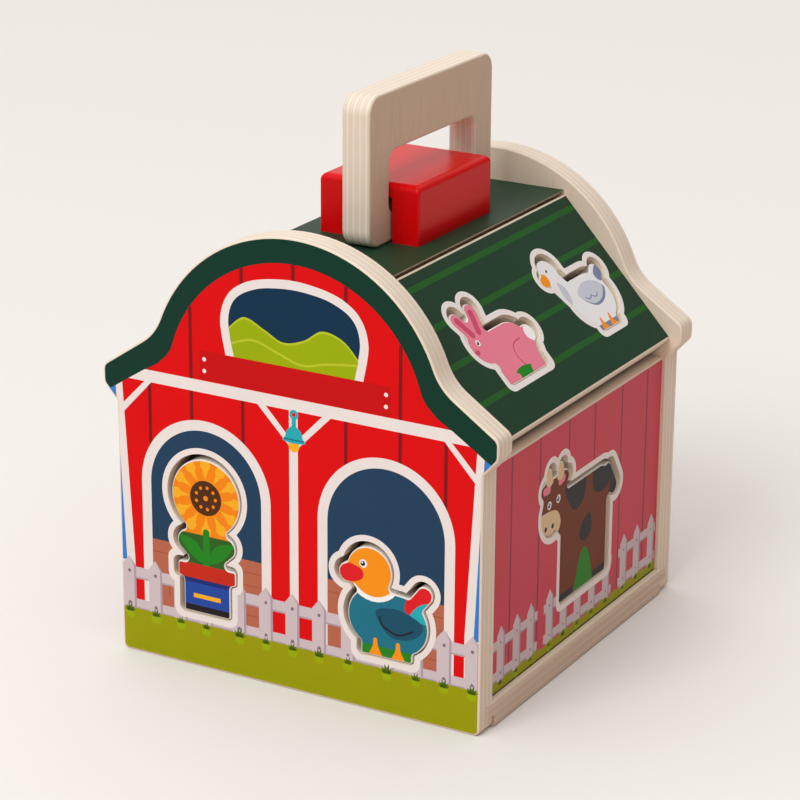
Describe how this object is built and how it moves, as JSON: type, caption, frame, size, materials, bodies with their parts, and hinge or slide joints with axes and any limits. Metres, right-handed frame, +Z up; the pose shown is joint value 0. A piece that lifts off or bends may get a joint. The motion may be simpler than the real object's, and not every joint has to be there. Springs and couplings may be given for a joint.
{
  "type": "wooden shape sorter barn",
  "caption": "Plywood shape sorter box in the form of a barn, with flip-up roof panels, cut-out shape pieces in its walls and roof, and a carry handle on the ridge",
  "frame": {"origin": "middle of the footprint, on the surface the barn stands on", "axes": "+X to the right along the front gable, +Y from the front gable to the back one along the ridge, +Z up"},
  "size_m": [0.1938, 0.188, 0.2537],
  "materials": {
    "printed_red": "satin",
    "printed_green": "satin",
    "painted_red": "gloss",
    "bare_birch": "satin",
    "beech": "matte",
    "zinc_steel": "satin",
    "printed_yellow": "satin",
    "printed_orange": "satin",
    "printed_pink": "satin",
    "printed_white": "satin",
    "printed_brown": "satin",
    "printed_apple_red": "satin",
    "printed_lime": "satin",
    "printed_leaf": "satin"
  },
  "bodies": {
    "barn": {"front_gable": "printed_red", "back_gable": "printed_red", "right_wall": "printed_red", "left_wall": "printed_red", "floor_board": "bare_birch", "ridge_board": "printed_green", "handle_block": "painted_red", "right_roof_pins": "beech", "left_roof_pins": "beech", "roof_rest_pegs": "beech", "ridge_dowels": "beech", "wall_dowels": "beech", "block_screws": "zinc_steel"},
    "right_roof": {"right_roof": "printed_green"},
    "left_roof": {"left_roof": "printed_green"},
    "handle": {"carry_handle": "bare_birch"},
    "sunflower": {"sunflower_piece": "printed_yellow"},
    "duck": {"duck_piece": "printed_orange"},
    "rabbit": {"rabbit_piece": "printed_pink"},
    "goose": {"goose_piece": "printed_white"},
    "cow": {"cow_piece": "printed_brown"},
    "apple": {"apple_piece": "printed_apple_red"},
    "pear": {"pear_piece": "printed_lime"},
    "tree": {"tree_piece": "printed_leaf"}
  },
  "joints": [
    {"name": "right_roof_hinge", "type": "hinge", "parent": "barn", "child": "right_roof", "pos_m": [0.0411, 0, 0.17155], "axis": [0, -1, 0], "range_deg": [0, 85]},
    {"name": "left_roof_hinge", "type": "hinge", "parent": "barn", "child": "left_roof", "pos_m": [-0.0411, 0, 0.17155], "axis": [0, 1, 0], "range_deg": [0, 85]},
    {"name": "handle_lift", "type": "slide", "parent": "barn", "child": "handle", "axis": [0, 0, 1], "range_m": [0, 0.004]},
    {"name": "sunflower_slide", "type": "slide", "parent": "barn", "child": "sunflower", "axis": [0, -1, 0], "range_m": [-0.014, 0.02]},
    {"name": "duck_slide", "type": "slide", "parent": "barn", "child": "duck", "axis": [0, -1, 0], "range_m": [-0.014, 0.02]},
    {"name": "rabbit_slide", "type": "slide", "parent": "right_roof", "child": "rabbit", "axis": [0.7343, 0, 0.6788], "range_m": [-0.014, 0.02]},
    {"name": "goose_slide", "type": "slide", "parent": "right_roof", "child": "goose", "axis": [0.7343, 0, 0.6788], "range_m": [-0.014, 0.02]},
    {"name": "cow_slide", "type": "slide", "parent": "barn", "child": "cow", "axis": [1, 0, 0], "range_m": [-0.014, 0.02]},
    {"name": "apple_slide", "type": "slide", "parent": "left_roof", "child": "apple", "axis": [-0.7343, 0, 0.6788], "range_m": [-0.014, 0.02]},
    {"name": "pear_slide", "type": "slide", "parent": "left_roof", "child": "pear", "axis": [-0.7343, 0, 0.6788], "range_m": [-0.014, 0.02]},
    {"name": "tree_slide", "type": "slide", "parent": "barn", "child": "tree", "axis": [-1, 0, 0], "range_m": [-0.014, 0.02]}
  ]
}
